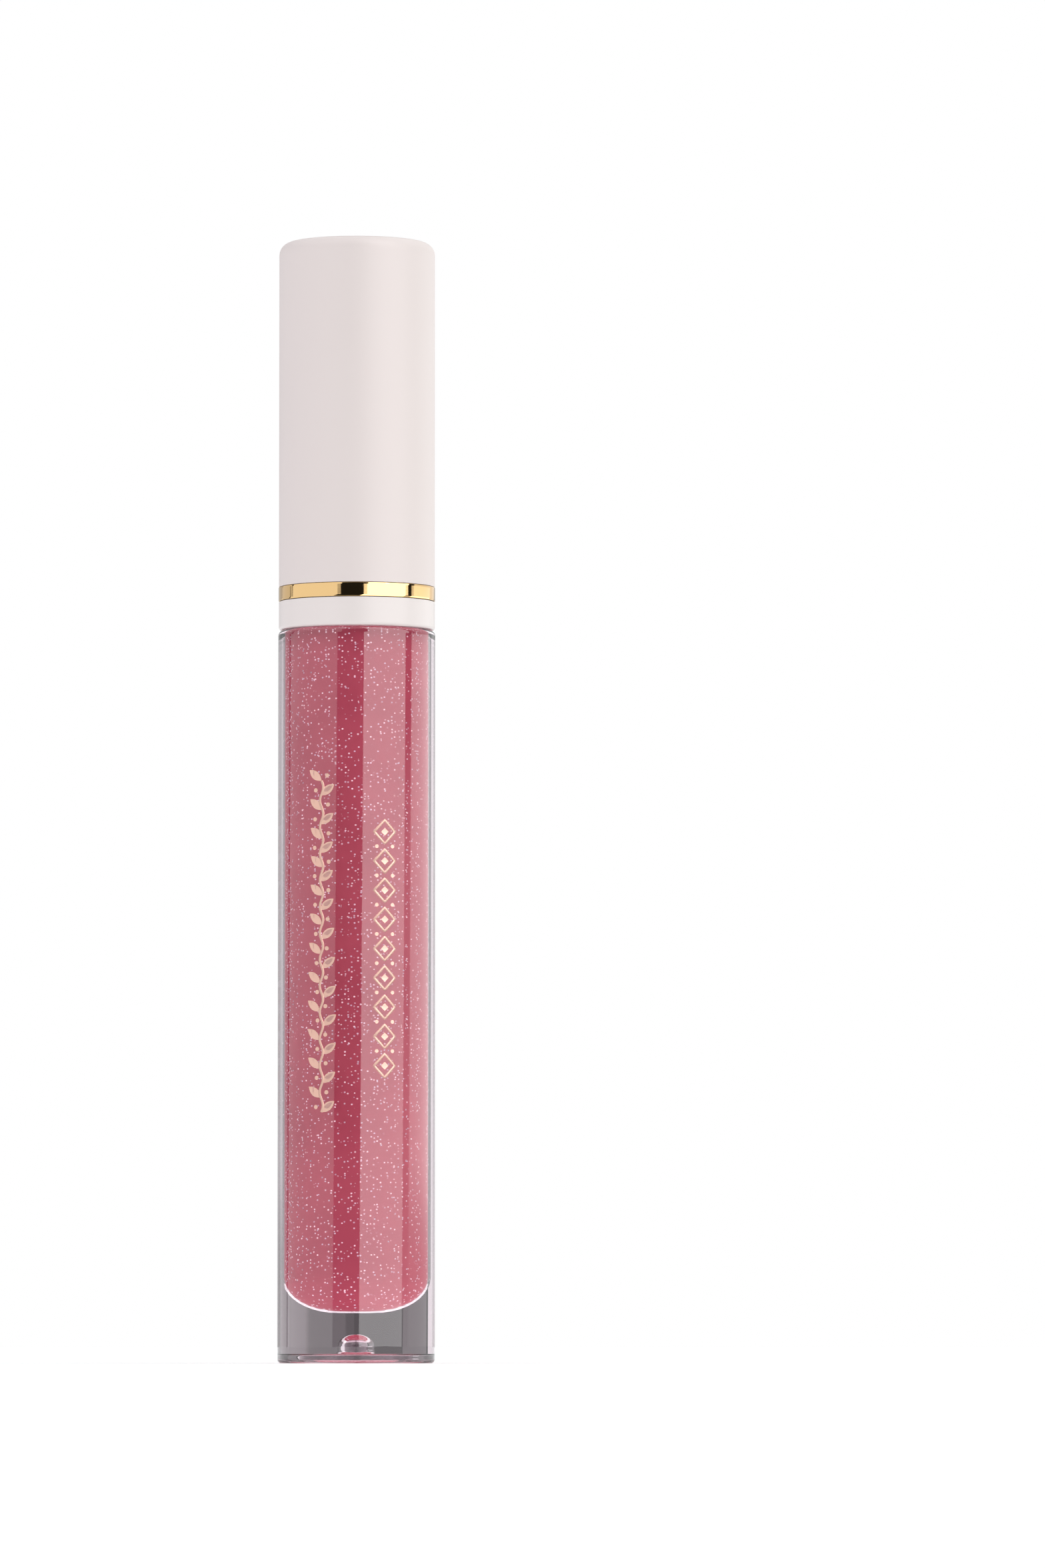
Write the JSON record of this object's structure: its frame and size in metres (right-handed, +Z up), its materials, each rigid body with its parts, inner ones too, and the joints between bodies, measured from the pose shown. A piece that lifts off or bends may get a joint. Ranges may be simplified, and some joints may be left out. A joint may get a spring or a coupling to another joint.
{
  "type": "lip gloss tube",
  "caption": "Slim cylindrical lip gloss tube: heavy-walled clear bottle, wiper, and a screw cap with a gold band that carries a stem with a flocked doe-foot tip.",
  "frame": {"origin": "centre of the foot, on the surface that the tube stands on", "axes": "+Z up the tube's axis towards the cap; the slanting face of the wand's tip looks to -Y"},
  "size_m": [0.016, 0.016, 0.1142],
  "materials": {
    "clear_petg": "gloss",
    "lip_gloss": "gloss",
    "wiper_ldpe": "satin",
    "gasket_foam": "matte",
    "gold_anodised": "polished",
    "white_pp": "satin",
    "ivory_abs": "satin",
    "stem_pom": "satin",
    "tip_nylon": "matte",
    "wet_flock": "gloss"
  },
  "bodies": {
    "bottle": {"bottle": "clear_petg", "gloss_fill": "lip_gloss", "wiper": "wiper_ldpe"},
    "gasket": {"gasket": "gasket_foam"},
    "gold_band": {"gold_band": "gold_anodised"},
    "applicator": {"outer_cap": "ivory_abs", "inner_cap": "white_pp", "stem": "stem_pom", "tip_core": "tip_nylon", "flocking": "wet_flock"}
  },
  "joints": [
    {"name": "lift_out", "type": "slide", "parent": "bottle", "child": "gasket", "axis": [0, 0, 1], "range_m": [0, 0.085], "deforming": ["flocking"]},
    {"name": "thread_rise", "type": "slide", "parent": "gasket", "child": "gold_band", "axis": [0, 0, 1], "range_m": [0, 0.00375]},
    {"name": "unscrew", "type": "hinge", "parent": "gold_band", "child": "applicator", "pos_m": [0, 0, 0.08], "axis": [0, 0, 1], "range_deg": [0, 540]}
  ],
  "couplings": [
    {"joint": "thread_rise", "follows": "unscrew", "m_per_rad": 0.00039788}
  ]
}
